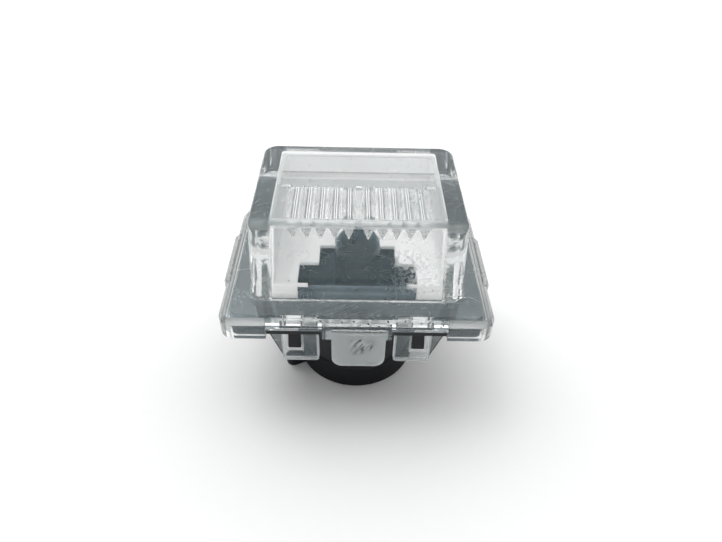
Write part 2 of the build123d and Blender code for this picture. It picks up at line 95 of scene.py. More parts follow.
# %% Camera
IMAGE_WIDTH = 722
FOCAL_PIXELS = 560.0
SENSOR_WIDTH = 36.0
camera_data = bpy.data.cameras.new("camera")
camera_data.sensor_width = SENSOR_WIDTH
camera_data.lens = FOCAL_PIXELS / IMAGE_WIDTH * SENSOR_WIDTH
camera_data.clip_start = 5 * MM
camera = bpy.data.objects.new("camera", camera_data)
camera_turn = Matrix((camera_right, camera_up, -forward)).transposed().to_4x4()
camera.matrix_world = Matrix.Translation(camera_place) @ camera_turn
bpy.context.scene.collection.objects.link(camera)
bpy.context.scene.camera = camera
print("camera lens", round(camera_data.lens, 2), "mm")

# %% [markdown]
# Node trees read better when a node and its values are one line. The first helper adds a node, sets its plain
# properties, and then fills its inputs: a socket is linked, anything else is set as the input's value. An input is
# named by its label with underscores for spaces, or by its number as i0, i1 where several share a label.


# %% Node helpers
def add_node(tree, kind, settings=None, **inputs):
    node = tree.nodes.new(kind)
    for name, value in (settings or {}).items():
        setattr(node, name, value)
    for name, value in inputs.items():
        key = int(name[1:]) if name[0] == "i" and name[1:].isdigit() else name.replace("_", " ")
        if isinstance(value, bpy.types.NodeSocket):
            tree.links.new(value, node.inputs[key])
        else:
            node.inputs[key].default_value = value
    return node


def math_node(tree, operation, first, second=0.0, third=0.0):
    return add_node(tree, "ShaderNodeMath", {"operation": operation}, i0=first, i1=second, i2=third).outputs[0]


def ramp(tree, value, from_min, from_max, to_min=0.0, to_max=1.0):
    """Smooth step of a value, clamped at both ends."""
    node = add_node(
        tree,
        "ShaderNodeMapRange",
        {"interpolation_type": "SMOOTHSTEP"},
        Value=value,
        From_Min=from_min,
        From_Max=from_max,
        To_Min=to_min,
        To_Max=to_max,
    )
    return node.outputs[0]


def mix_colour(tree, factor, first, second):
    node = add_node(tree, "ShaderNodeMix", {"data_type": "RGBA"}, i0=factor, i6=first, i7=second)
    return node.outputs[2]


print("helpers: add_node, math_node, ramp, mix_colour")

# %% [markdown]
# Finishes that several materials share are shader node groups, built once. A group has named inputs and outputs like
# a function. The first helper makes an empty tree and hands it back with its two end nodes. It serves shader groups
# here and shape trees further down.


# %% Group helpers
def new_tree(name, tree_kind, inputs, outputs):
    tree = bpy.data.node_groups.new(name, tree_kind)
    for socket_name, kind, value in inputs:
        socket = tree.interface.new_socket(socket_name, in_out="INPUT", socket_type="NodeSocket" + kind)
        if value is not None:
            socket.default_value = value
    for socket_name, kind in outputs:
        tree.interface.new_socket(socket_name, in_out="OUTPUT", socket_type="NodeSocket" + kind)
    return tree, tree.nodes.new("NodeGroupInput").outputs, tree.nodes.new("NodeGroupOutput").inputs


def new_group(name, inputs, outputs):
    return new_tree(name, "ShaderNodeTree", inputs, [(output, "Float") for output in outputs])


def use_group(tree, group, **inputs):
    return add_node(tree, "ShaderNodeGroup", {"node_tree": group}, **inputs).outputs


print("helpers: new_tree, new_group, use_group")

# %% [markdown]
# Moulded plastic is never perfectly even: the steel of the mould leaves a fine grain, and the melt leaves broad soft
# clouds in the gloss. One noise at the grain's own size gives the height for a bump, and another, many times wider,
# gives the clouds. Both are measured in millimetres so that they stay true at the part's small size.

# %% Moulded grain
CLOUD_WIDTH = 24.0
moulded_grain, given, result = new_group(
    "moulded_grain", [("Vector", "Vector", None), ("Grain", "Float", 0.3)], ["Height", "Cloud"]
)
grain_scale = math_node(moulded_grain, "DIVIDE", 1 / MM, given["Grain"])
fine = add_node(moulded_grain, "ShaderNodeTexNoise", Vector=given["Vector"], Scale=grain_scale, Detail=2.0)
cloud_scale = math_node(moulded_grain, "DIVIDE", grain_scale, CLOUD_WIDTH)
cloud = add_node(moulded_grain, "ShaderNodeTexNoise", Vector=given["Vector"], Scale=cloud_scale, Detail=3.0)
moulded_grain.links.new(fine.outputs[0], result["Height"])
moulded_grain.links.new(cloud.outputs[0], result["Cloud"])
print("group", moulded_grain.name, "with clouds", CLOUD_WIDTH, "grains wide")

# %% [markdown]
# Handling leaves hairline scratches. A noise that is stretched along one direction has long thin contour lines, so a
# narrow band round one of its levels draws hairlines, and a second, wider noise breaks them into short lengths.

# %% Hairline scratches
LINE_STRETCH = 16.0
LINE_BAND = 0.012
hairlines, given, result = new_group(
    "hairlines",
    [
        ("Vector", "Vector", None),
        ("Turn", "Vector", (0.0, 0.0, 0.0)),
        ("Spacing", "Float", 2.0),
        ("Share", "Float", 0.5),
    ],
    ["Mask"],
)
line_scale = math_node(hairlines, "DIVIDE", 1 / MM, given["Spacing"])
stretched = add_node(
    hairlines,
    "ShaderNodeMapping",
    {"vector_type": "TEXTURE"},
    Vector=given["Vector"],
    Rotation=given["Turn"],
    Scale=(LINE_STRETCH, 1.0, 1.0),
)
lines = add_node(hairlines, "ShaderNodeTexNoise", Vector=stretched.outputs[0], Scale=line_scale, Detail=1.0)
off_level = math_node(hairlines, "ABSOLUTE", math_node(hairlines, "SUBTRACT", lines.outputs[0], 0.5))
thread = ramp(hairlines, off_level, 0.0, LINE_BAND, 1.0, 0.0)
patch_scale = math_node(hairlines, "MULTIPLY", line_scale, 0.35)
patches = add_node(hairlines, "ShaderNodeTexNoise", Vector=given["Vector"], Scale=patch_scale, Detail=2.0)
patch_level = math_node(hairlines, "SUBTRACT", 0.8, math_node(hairlines, "MULTIPLY", given["Share"], 0.6))
kept = ramp(hairlines, math_node(hairlines, "SUBTRACT", patches.outputs[0], patch_level), 0.0, 0.08)
hairlines.links.new(math_node(hairlines, "MULTIPLY", thread, kept), result["Mask"])
print("group", hairlines.name, "stretched", LINE_STRETCH, "times")

# %% [markdown]
# Dust lies as separate specks of different sizes. Each cell of a Voronoi texture holds one speck: its distance gives
# the round shape and the cell's random colour decides whether the cell has a speck at all, and how large.

# %% Dust
LARGEST_SPECK = 0.22
dust, given, result = new_group(
    "dust", [("Vector", "Vector", None), ("Spacing", "Float", 1.0), ("Share", "Float", 0.3)], ["Mask"]
)
dust_scale = math_node(dust, "DIVIDE", 1 / MM, given["Spacing"])
cells = add_node(dust, "ShaderNodeTexVoronoi", Vector=given["Vector"], Scale=dust_scale)
chance = add_node(dust, "ShaderNodeSeparateColor", Color=cells.outputs["Color"])
bare_share = math_node(dust, "SUBTRACT", 1.0, given["Share"])
speck_size = ramp(dust, chance.outputs[0], bare_share, 1.0, 0.0, LARGEST_SPECK)
speck = math_node(dust, "LESS_THAN", cells.outputs["Distance"], speck_size)
dust.links.new(speck, result["Mask"])
print("group", dust.name, "with specks up to", LARGEST_SPECK, "of their spacing")

# %% [markdown]
# Two deep scratches on the front panel are drawn one by one. The distance from a point to a line between two ends is
# a few vector operations, and a little noise on the point first makes the line waver like a real scratch.


# %% Single scratch
def vector_node(tree, operation, first, second=None, scale=None):
    inputs = {"i0": first}
    if second is not None:
        inputs["i1"] = second
    if scale is not None:
        inputs["Scale"] = scale
    return add_node(tree, "ShaderNodeVectorMath", {"operation": operation}, **inputs).outputs


WAVER_SCALE = 900.0
WAVER_REACH = 0.6 * MM
scratch, given, result = new_group(
    "scratch",
    [("Vector", "Vector", None), ("Start", "Vector", None), ("End", "Vector", None), ("Width", "Float", 0.2 * MM)],
    ["Mask"],
)
waver = add_node(scratch, "ShaderNodeTexNoise", Vector=given["Vector"], Scale=WAVER_SCALE, Detail=2.0)
shake = vector_node(scratch, "SCALE", waver.outputs["Color"], scale=WAVER_REACH)["Vector"]
point = vector_node(scratch, "ADD", given["Vector"], shake)["Vector"]
reach = vector_node(scratch, "SUBTRACT", point, given["Start"])["Vector"]
run = vector_node(scratch, "SUBTRACT", given["End"], given["Start"])["Vector"]
along = vector_node(scratch, "DOT_PRODUCT", reach, run)["Value"]
whole = vector_node(scratch, "DOT_PRODUCT", run, run)["Value"]
share = add_node(scratch, "ShaderNodeClamp", Value=math_node(scratch, "DIVIDE", along, whole)).outputs[0]
nearest = vector_node(scratch, "SCALE", run, scale=share)["Vector"]
apart = vector_node(scratch, "DISTANCE", reach, nearest)["Value"]
scratch.links.new(ramp(scratch, apart, 0.0, given["Width"], 1.0, 0.0), result["Mask"])
print("group", scratch.name)

# %% [markdown]
# Every material starts the same way: an empty tree, Object coordinates for its patterns, a Principled shader and an
# output. Clear pieces get one thing more. A lamp's light reaches what is behind glass only by chance in a path
# tracer, so for shadow rays alone the glass is swapped for a plain see-through shader.


# %% Material helpers
def start_material(name):
    material = bpy.data.materials.new(name)
    material.use_nodes = True
    tree = material.node_tree
    tree.nodes.clear()
    print("material", material.name)
    return material, tree, tree.nodes.new("ShaderNodeTexCoord").outputs["Object"]


def end_material(tree, surface, **inside):
    add_node(tree, "ShaderNodeOutputMaterial", Surface=surface, **inside)


def end_clear_material(tree, glass, passed, **inside):
    path = add_node(tree, "ShaderNodeLightPath")
    open_way = add_node(tree, "ShaderNodeBsdfTransparent", Color=passed)
    either = add_node(
        tree, "ShaderNodeMixShader", i0=path.outputs["Is Shadow Ray"], i1=glass.outputs[0], i2=open_way.outputs[0]
    )
    end_material(tree, either.outputs[0], **inside)


def bump(tree, height, distance, strength=1.0):
    node = add_node(tree, "ShaderNodeBump", Height=height, Distance=distance, Strength=strength)
    return node.outputs[0]


print("helpers: start_material, end_material, end_clear_material, bump")

# %% [markdown]
# The lens is clear polycarbonate, one moulding that shows a different finish in many small places. Each place is
# found by a mask, a number from 0 to 1 made from the point's own coordinates: X to the right, Y to the back and Z up.
# The helpers take millimetres, as the part is drawn in them. Masks that are multiplied hold only where all of them
# do, and the largest of several holds where any does.

# %% Lens: finding a place
clear_lens, lens_tree, place = start_material("clear_lens")
axes = add_node(lens_tree, "ShaderNodeSeparateXYZ", Vector=place).outputs
right, back, up = axes["X"], axes["Y"], axes["Z"]
across = math_node(lens_tree, "ABSOLUTE", right)


def past(value, start, full):
    """0 up to start, 1 from full on."""
    return ramp(lens_tree, value, start * MM, full * MM)


def before(value, full, end):
    """1 up to full, 0 from end on."""
    return ramp(lens_tree, value, full * MM, end * MM, 1.0, 0.0)


def line_at(value, centre, half):
    """A soft-edged line round one value."""
    off = math_node(lens_tree, "ABSOLUTE", math_node(lens_tree, "SUBTRACT", value, centre * MM))
    return before(off, 0.7 * half, 1.2 * half)


def product(first, *others):
    for other in others:
        first = math_node(lens_tree, "MULTIPLY", first, other)
    return first


def largest(first, *others):
    for other in others:
        first = math_node(lens_tree, "MAXIMUM", first, other)
    return first


print("helpers: past, before, line_at, product, largest")

# %% [markdown]
# The lens has been handled. It has hairlines in two directions, and on the right half of the front panel a rubbed
# patch and two deep scratches. Hairlines and rubbing in clear plastic are rough places rather than painted lines, so
# their masks go to Roughness. The deep scratches hold dirt, so theirs darkens the colour.

# %% Lens: marks of handling
DEEP_SCRATCHES = [
    ((3.3, -12.5, 30.7), (8.0, -12.2, 33.2), 0.45),
    ((8.6, -12.6, 29.8), (15.0, -12.4, 31.4), 0.4),
]
fine_lines = use_group(lens_tree, hairlines, Vector=place, Turn=(0.3, 0.2, 0.5), Spacing=2.2, Share=0.45)["Mask"]
cross_lines = use_group(lens_tree, hairlines, Vector=place, Turn=(0.9, -0.4, 1.9), Spacing=1.7, Share=0.4)["Mask"]
marks = largest(fine_lines, cross_lines)

front_panel = before(back, -10.5, -10)
rub_side = product(past(right, 5, 9), before(right, 16, 19))
rub_rise = product(past(up, 26, 28), before(up, 36, 39))
rub_flecks = add_node(lens_tree, "ShaderNodeTexNoise", Vector=place, Scale=1100.0, Detail=5.0, Roughness=0.7)
rub = product(rub_side, rub_rise, front_panel, ramp(lens_tree, rub_flecks.outputs[0], 0.46, 0.58))

cuts = []
for start, end, width in DEEP_SCRATCHES:
    ends = {"Start": Vector(start) * MM, "End": Vector(end) * MM}
    cuts.append(use_group(lens_tree, scratch, Vector=place, Width=width * MM, **ends)["Mask"])
deep = product(largest(*cuts), front_panel)
print("deep scratches", len(cuts))

# %% [markdown]
# Some places of the mould are matt, not polished. The front tab is, with slanting scuffs in its middle where it has
# been rubbed smooth, and so is the bevel, mostly towards the flange's ends. The rounding along the top front of the
# box has worn a little.

# %% Lens: matt tab, bevel and rounding
BEVEL_FROST, BEVEL_END_FROST = 0.14, 0.8
tab_place = product(before(across, 6.2, 6.6), before(back, -18.0, -17.9), before(up, 22.4, 23.2))
tab_foot = product(tab_place, before(up, 14.0, 14.4))
scuff_width = product(tab_place, past(right, -1.8, -0.8), before(right, 3.4, 4.6))
scuff_place = product(scuff_width, past(up, 15.6, 16.6), before(up, 20.2, 21.2))
slanted = add_node(
    lens_tree,
    "ShaderNodeMapping",
    {"vector_type": "TEXTURE"},
    Vector=place,
    Rotation=(0.0, math.radians(-58), 0.0),
    Scale=(5.0, 1.0, 1.0),
)
strokes = add_node(lens_tree, "ShaderNodeTexNoise", Vector=slanted.outputs[0], Scale=1500.0, Detail=1.0)
scuffs = product(scuff_place, ramp(lens_tree, strokes.outputs[0], 0.5, 0.56))

bevel_place = product(before(back, -18.4, -18.3), past(up, 23.6, 23.9))
bevel_frost = ramp(lens_tree, across, 18.4 * MM, 19.0 * MM, BEVEL_FROST, BEVEL_END_FROST)
bevel_frost = product(bevel_place, bevel_frost)
worn_round = product(before(back, -9.4, -9.2), past(up, 42.1, 42.4))
print("bevel frost from", BEVEL_FROST, "to", BEVEL_END_FROST)

# %% [markdown]
# The latch ears have matt rims, and so have the windows in them that the housing's hooks snap into. A rim is a narrow
# line along each edge, kept to the ear by the ear's own mask.

# %% Lens: matt rims of the ears
ear_width = product(past(across, 7.8, 7.9), before(across, 18.7, 18.9))
ear_place = product(ear_width, before(back, -16.4, -16.3), before(up, 22.2, 22.4))
ear_rim = largest(line_at(across, 8.2, 0.22), line_at(across, 15.6, 0.22), line_at(up, 11.92, 0.24))
from_window = math_node(lens_tree, "ABSOLUTE", math_node(lens_tree, "SUBTRACT", across, 13.1 * MM))
window_sides = product(line_at(from_window, 1.68, 0.2), past(up, 14.8, 14.9))
window_foot = product(line_at(up, 15.1, 0.2), before(from_window, 1.85, 1.95))
ear_edges = product(ear_place, largest(ear_rim, window_sides, window_foot))
print("lens nodes so far", len(lens_tree.nodes))

# %% [markdown]
# Roughness gathers all of this. It starts from the polished plastic with its soft clouds, the marks of handling add
# to it, and in the matt places the frost of the mould takes over where it is the rougher of the two.

# %% Lens: roughness
HAIRLINE_ROUGH, RUB_ROUGH = 0.34, 0.55
TAB_FROST, FOOT_LESS, SCUFF_LESS = 0.75, 0.14, 0.6
EAR_FROST, WORN_FROST = 0.85, 0.34
grain = use_group(lens_tree, moulded_grain, Vector=place, Grain=1.4)
rough = ramp(lens_tree, grain["Cloud"], 0.3, 0.7, 0.05, 0.09)
rough = math_node(lens_tree, "MULTIPLY_ADD", marks, HAIRLINE_ROUGH, rough)
rough = math_node(lens_tree, "MULTIPLY_ADD", rub, RUB_ROUGH, rough)
frost = product(tab_place, TAB_FROST)
frost = math_node(lens_tree, "SUBTRACT", frost, product(tab_foot, FOOT_LESS))
frost = math_node(lens_tree, "SUBTRACT", frost, product(scuffs, SCUFF_LESS))
frost = largest(frost, bevel_frost, product(ear_edges, EAR_FROST), product(worn_round, WORN_FROST))
rough = largest(rough, frost)
print("lens nodes so far", len(lens_tree.nodes))

# %% [markdown]
# The real moulding has roundings that are too small to model, along the ridges and the cross rib under the box's top.
# They bend the light away and look grey, so painted shade darkens the tint there, and on a strip beside the ridges.
# The ridges' painted shade is darkest at their tips, and the rib's along its two edges.

# %% Lens: painted shade on ridges and cross rib
under_top = before(across, 16.4, 16.6)
ridge_run = product(past(back, -8.9, -8.8), before(back, 3.2, 3.3))
ridge_place = product(under_top, ridge_run, past(up, 39.0, 39.05), before(up, 41.8, 41.9))
# Painted shade: grey tint on the ridges, darkest at their tips.
painted_ridge_shade = mix_colour(lens_tree, past(up, 39.4, 39.6), (0.2, 0.205, 0.205, 1.0), (0.94, 0.945, 0.945, 1.0))
shade_beside_ridges = product(line_at(across, 15.8, 1.3), ridge_run, line_at(up, 42.0, 0.15))

# Painted shade on the cross rib: grey tint along its edges, flat and slope.
rib_edges = largest(line_at(back, 8.2, 0.3), line_at(back, 3.3, 0.25))
rib_flat = product(line_at(back, 4.8, 1.5), 0.75)
rib_slope = product(line_at(back, 7.4, 0.6), 0.35)
rib_place = product(under_top, past(up, 40.4, 40.5), before(up, 42.1, 42.2))
painted_rib_shade = product(rib_place, largest(rib_edges, rib_flat, rib_slope))
print("lens nodes so far", len(lens_tree.nodes))

# %% [markdown]
# Painted shade also greys the border at the flange's ends with its two edges, the top back edge of the box and each
# ear, darkest on the web outside it. One painted grey after another is laid over the faint tint of the clear plastic,
# and the real dirt in the deep scratches comes last.

# %% Lens: tint, painted shade and dirt
border_edge_shade = largest(line_at(across, 27.4, 0.16), line_at(across, 28.4, 0.16))
back_edge_shade = product(past(back, 16.8, 17.0), past(up, 42.5, 42.7))
ear_web = past(across, 15.7, 15.9)
painted_ear_shade = mix_colour(lens_tree, ear_web, (0.93, 0.95, 0.95, 1.0), (0.26, 0.27, 0.265, 1.0))
# Every layer but the last is painted shade; the last is the dirt held in the deep scratches.
shade_and_dirt_layers = [
    (past(across, 26.3, 26.7), (0.44, 0.445, 0.44, 1.0)),
    (border_edge_shade, (0.12, 0.125, 0.12, 1.0)),
    (back_edge_shade, (0.4, 0.405, 0.405, 1.0)),
    (ear_place, painted_ear_shade),
    (painted_rib_shade, (0.42, 0.43, 0.43, 1.0)),
    (ridge_place, painted_ridge_shade),
    (shade_beside_ridges, (0.55, 0.555, 0.555, 1.0)),
    (deep, (0.12, 0.13, 0.14, 1.0)),
]
tint = (0.964, 0.969, 0.968, 1.0)
for mask, grey in shade_and_dirt_layers:
    tint = mix_colour(lens_tree, mask, tint, grey)
print("tint layers", len(shade_and_dirt_layers))

# %% [markdown]
# Polycarbonate has a high index, and its colour deepens with thickness, so the body of the lens absorbs a little
# light besides the tint of its surface. Its reflections are slightly cool, which shows best over the dark opening.

# %% Lens: clear plastic
POLYCARBONATE_INDEX = 1.58
glass = add_node(
    lens_tree,
    "ShaderNodeBsdfPrincipled",
    Base_Color=tint,
    Roughness=rough,
    IOR=POLYCARBONATE_INDEX,
    Specular_Tint=(0.72, 0.92, 1.0, 1.0),
    Transmission_Weight=1.0,
    Normal=bump(lens_tree, math_node(lens_tree, "ADD", grain["Height"], rub), 0.004 * MM, 0.5),
)
depth_tint = add_node(lens_tree, "ShaderNodeVolumeAbsorption", Color=(0.608, 0.632, 0.628, 1.0), Density=36.0)
end_clear_material(lens_tree, glass, (0.9, 0.915, 0.92, 1.0), Volume=depth_tint.outputs[0])
print("lens nodes in all", len(lens_tree.nodes))

# %% [markdown]
# The bulb's glass is ordinary clear glass that has been lit for years: the hot coil leaves a grey veil on the inside,
# thickest over the dome. The veil is a darker tint that rises with height, broken by the same soft clouds. The index
# is set lower than that of real glass, because the white reflector that a real one mirrors would hide the veil.

# %% Bulb glass
BULB_INDEX = 1.3
bulb_glass, tree, place = start_material("bulb_glass")
axes = add_node(tree, "ShaderNodeSeparateXYZ", Vector=place).outputs
grain = use_group(tree, moulded_grain, Vector=place, Grain=0.6)
veil = ramp(tree, math_node(tree, "MULTIPLY_ADD", grain["Cloud"], 4 * MM, axes["Z"]), 18 * MM, 27 * MM)
glass = add_node(
    tree,
    "ShaderNodeBsdfPrincipled",
    Base_Color=mix_colour(tree, veil, (0.62, 0.64, 0.65, 1.0), (0.05, 0.11, 0.15, 1.0)),
    Roughness=ramp(tree, grain["Cloud"], 0.3, 0.7, 0.06, 0.12),
    IOR=BULB_INDEX,
    Transmission_Weight=1.0,
    Normal=bump(tree, grain["Height"], 0.002 * MM, 0.3),
)
end_clear_material(tree, glass, (0.5, 0.52, 0.53, 1.0))

# %% [markdown]
# Housing and holder are black moulded plastic and the seals are rubber. They differ only in colour, gloss, grain and
# how much dust they hold, so one function makes all of them from the grain and dust groups. Inside the lamp the
# housing is a paler blue grey. A height, and a distance from the bulb's axis for the bore that the bulb stands in,
# tell the function where inside begins. The same height keeps the holder's ring black below the paler flat seal.


# %% Black moulding
BULB_AXIS_Y = -2.5 * MM
FILM_SHARE, SPECK_SHARE = 0.35, 0.7


def moulded_black(name, colour, dusty, shine, rough, grain_size, dust_share, height, above, bore=0.0):
    material, tree, place = start_material(name)
    grain = use_group(tree, moulded_grain, Vector=place, Grain=grain_size)
    specks = use_group(tree, dust, Vector=place, Spacing=0.9, Share=dust_share)["Mask"]
    film = ramp(tree, grain["Cloud"], 0.45, 0.75, 0.0, FILM_SHARE)
    cover = math_node(tree, "MAXIMUM", film, math_node(tree, "MULTIPLY", specks, SPECK_SHARE))
    axes = add_node(tree, "ShaderNodeSeparateXYZ", Vector=place).outputs
    higher = ramp(tree, axes["Z"], height - 0.2 * MM, height)
    behind_axis = math_node(tree, "SUBTRACT", axes["Y"], BULB_AXIS_Y)
    level_point = add_node(tree, "ShaderNodeCombineXYZ", X=axes["X"], Y=behind_axis)
    from_axis = vector_node(tree, "LENGTH", level_point.outputs[0])["Value"]
    within_bore = ramp(tree, from_axis, bore, bore + 0.1 * MM, 1.0, 0.0)
    inside = math_node(tree, "MAXIMUM", higher, within_bore)
    base = mix_colour(tree, inside, mix_colour(tree, cover, colour, dusty), mix_colour(tree, cover, above, dusty))
    shader = add_node(
        tree,
        "ShaderNodeBsdfPrincipled",
        Base_Color=base,
        Roughness=ramp(tree, grain["Cloud"], 0.3, 0.7, *rough),
        Specular_IOR_Level=shine,
        Normal=bump(tree, grain["Height"], 0.02 * MM, 0.35),
    )
    end_material(tree, shader.outputs[0])
    return material


print("bulb axis at y", BULB_AXIS_Y)

# %% [markdown]
# The housing is satin, the holder duller and cleaner, the seals dull and dusty. Roughness is given as a pair, because
# the soft clouds move it between the two.

# %% Housing, holder and seals
black_housing = moulded_black(
    "black_housing",
    colour=(0.01, 0.0105, 0.012, 1.0),
    dusty=(0.035, 0.036, 0.037, 1.0),
    shine=0.25,
    rough=(0.36, 0.5),
    grain_size=0.28,
    dust_share=0.2,
    height=22.4 * MM,
    above=(0.13, 0.165, 0.19, 1.0),
    bore=10.7 * MM,
)
black_holder = moulded_black(
    "black_holder",
    colour=(0.005, 0.0053, 0.0065, 1.0),
    dusty=(0.012, 0.0125, 0.014, 1.0),
    shine=0.15,
    rough=(0.42, 0.55),
    grain_size=0.35,
    dust_share=0.15,
    height=9.0 * MM,
    above=(0.012, 0.04, 0.06, 1.0),
)
seal_rubber = moulded_black(
    "seal_rubber",
    colour=(0.012, 0.0125, 0.0135, 1.0),
    dusty=(0.16, 0.168, 0.17, 1.0),
    shine=0.3,
    rough=(0.6, 0.75),
    grain_size=0.2,
    dust_share=0.25,
    height=15.0 * MM,
    above=(0.11, 0.12, 0.124, 1.0),
)

# %% [markdown]
# The reflector is satin white plastic. It only has to be clean and bright, with slightly uneven gloss and a few
# specks of the dust that got in with the bulb. Its upper rim, close under the lens and lit straight from above, is
# grey with painted shade.

# %% White reflector
white_reflector, tree, place = start_material("white_reflector")
grain = use_group(tree, moulded_grain, Vector=place, Grain=0.25)
specks = use_group(tree, dust, Vector=place, Spacing=1.6, Share=0.12)["Mask"]
shade = mix_colour(tree, grain["Cloud"], (0.925, 0.925, 0.92, 1.0), (0.89, 0.895, 0.895, 1.0))
# Painted shade: the upper rim is tinted grey.
rim_shade = ramp(tree, add_node(tree, "ShaderNodeSeparateXYZ", Vector=place).outputs["Z"], 41.3 * MM, 41.45 * MM)
shade = mix_colour(tree, rim_shade, shade, (0.5, 0.51, 0.51, 1.0))
shader = add_node(
    tree,
    "ShaderNodeBsdfPrincipled",
    Base_Color=mix_colour(tree, math_node(tree, "MULTIPLY", specks, 0.6), shade, (0.3, 0.3, 0.29, 1.0)),
    Roughness=ramp(tree, grain["Cloud"], 0.3, 0.7, 0.35, 0.5),
    Normal=bump(tree, grain["Height"], 0.006 * MM, 0.3),
)
end_material(tree, shader.outputs[0])

# %% [markdown]
# The contacts are brass strip, the bulb's wires are nickel and its coil is tungsten. Drawn and rolled metal has fine
# lines along its length, so the hairline group gives all three their uneven shine.


# %% Metals
def drawn_metal(name, colour, tarnish, gloss, turn):
    material, tree, place = start_material(name)
    lines = use_group(tree, hairlines, Vector=place, Turn=turn, Spacing=0.4, Share=0.8)["Mask"]
    cloud = use_group(tree, moulded_grain, Vector=place, Grain=0.15)["Cloud"]
    shader = add_node(
        tree,
        "ShaderNodeBsdfPrincipled",
        Base_Color=mix_colour(tree, ramp(tree, cloud, 0.4, 0.7), colour, tarnish),
        Metallic=1.0,
        Roughness=math_node(tree, "MULTIPLY_ADD", lines, 0.2, gloss),
    )
    end_material(tree, shader.outputs[0])
    return material


upright = (0.0, math.radians(90), 0.0)
level = (0.0, 0.0, 0.0)
contact_metal = drawn_metal("contact_metal", (0.78, 0.6, 0.33, 1.0), (0.55, 0.4, 0.22, 1.0), 0.28, upright)
lead_wire = drawn_metal("lead_wire", (0.66, 0.64, 0.6, 1.0), (0.45, 0.43, 0.4, 1.0), 0.3, upright)
filament_wire = drawn_metal("filament_wire", (0.42, 0.41, 0.4, 1.0), (0.25, 0.24, 0.24, 1.0), 0.4, level)

# %% [markdown]
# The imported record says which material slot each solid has. A table from slot to finish lets every piece find its
# own.

# %% Finish of each slot
finish = {
    "clear_lens": clear_lens,
    "seal_rubber": seal_rubber,
    "black_housing": black_housing,
    "black_holder": black_holder,
    "contact_metal": contact_metal,
    "bulb_glass": bulb_glass,
    "lead_wire": lead_wire,
    "filament_wire": filament_wire,
    "white_reflector": white_reflector,
}
slots = {part["node"]: part["material_slot"] for part in frame["record"]["subparts"]}
print("finishes", sorted(finish))

# %% [markdown]
# The solids arrive as loose triangles. A copy of each is merged at its corners, its flat faces are joined again into
# single polygons, and it is shaded smooth except at real edges. Clear plastic bends light by its normals, so a
# Weighted Normal modifier keeps flat panels truly flat: the large faces decide, the small roundings follow.


# %% Finished copies of the solids
SAME_POINT = 1e-7
FLAT_ANGLE = math.radians(0.2)
EDGE_ANGLE = math.radians(28)


def tidy_copy(node_name):
    mesh = frame["nodes"][node_name].data.copy()
    mesh.materials.clear()
    form = bmesh.new()
    form.from_mesh(mesh)
    bmesh.ops.remove_doubles(form, verts=form.verts, dist=SAME_POINT)
    bmesh.ops.dissolve_limit(form, angle_limit=FLAT_ANGLE, verts=form.verts, edges=form.edges)
    form.normal_update()
    for face in form.faces:
        face.smooth = True
    for edge in form.edges:
        edge.smooth = edge.calc_face_angle(0.0) < EDGE_ANGLE
    form.to_mesh(mesh)
    form.free()
    piece = bpy.data.objects.new(node_name + "_finished", mesh)
    bpy.context.scene.collection.objects.link(piece)
    steady = piece.modifiers.new("steady flats", "WEIGHTED_NORMAL")
    steady.mode = "FACE_AREA"
    steady.weight = 100
    steady.keep_sharp = True
    return piece


def hand_over(piece, slot, *replaced):
    if replaced:
        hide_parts(*replaced)
    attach(piece, "root")


for node_name, slot in slots.items():
    if node_name == "filament":
        continue
    piece = tidy_copy(node_name)
    piece.data.materials.append(finish[slot])
    hand_over(piece, slot, node_name)
    print(node_name, len(piece.data.polygons), "polygons")

# %% [markdown]
# What repeats is made with Geometry Nodes. Each tree is built here with named inputs, run once on an empty mesh, and
# its result is kept as a plain mesh with the modifier gone. Modifier inputs go by identifier, so the helper looks
# each name up in the tree's interface first.


# %% Geometry helpers
def new_shape_tree(name, inputs):
    return new_tree(name, "GeometryNodeTree", inputs, [("Geometry", "Geometry")])


def grow(tree, name, **values):
    holder = bpy.data.objects.new(name + "_seed", bpy.data.meshes.new(name + "_seed"))
    bpy.context.scene.collection.objects.link(holder)
    modifier = holder.modifiers.new("shape", "NODES")
    modifier.node_group = tree
    for item in tree.interface.items_tree:
        if item.in_out == "INPUT" and item.name.replace(" ", "_") in values:
            modifier[item.identifier] = values[item.name.replace(" ", "_")]
    shaped = holder.evaluated_get(bpy.context.evaluated_depsgraph_get())
    mesh = bpy.data.meshes.new_from_object(shaped)
    bpy.data.objects.remove(holder)
    mesh.shade_smooth()
    piece = bpy.data.objects.new(name, mesh)
    bpy.context.scene.collection.objects.link(piece)
    print(name, len(mesh.polygons), "polygons")
    return piece


print("helpers: new_shape_tree, grow")

# %% [markdown]
# The coil is a fine wire wound round nothing. A spiral whose two radii are equal is a helix, a small circle carried
# along it gives the wire, and a turn of ninety degrees lays it across the tops of the two bulb wires.

# %% Bulb coil
coil_tree, given, result = new_shape_tree(
    "wound_coil",
    [
        ("Turns", "Float", 24.0),
        ("Coil Radius", "Float", 0.3 * MM),
        ("Wire Radius", "Float", 0.05 * MM),
        ("Length", "Float", 5.6 * MM),
        ("Centre", "Vector", None),
        ("Finish", "Material", None),
    ],
)
helix = add_node(
    coil_tree,
    "GeometryNodeCurveSpiral",
    Resolution=16,
    Rotations=given["Turns"],
    Start_Radius=given["Coil Radius"],
    End_Radius=given["Coil Radius"],
    Height=given["Length"],
)
wire = add_node(coil_tree, "GeometryNodeCurvePrimitiveCircle", Resolution=6, Radius=given["Wire Radius"])
wound = add_node(
    coil_tree, "GeometryNodeCurveToMesh", Curve=helix.outputs[0], Profile_Curve=wire.outputs[0], Fill_Caps=True
)
drop = add_node(coil_tree, "ShaderNodeCombineXYZ", Z=math_node(coil_tree, "MULTIPLY", given["Length"], -0.5))
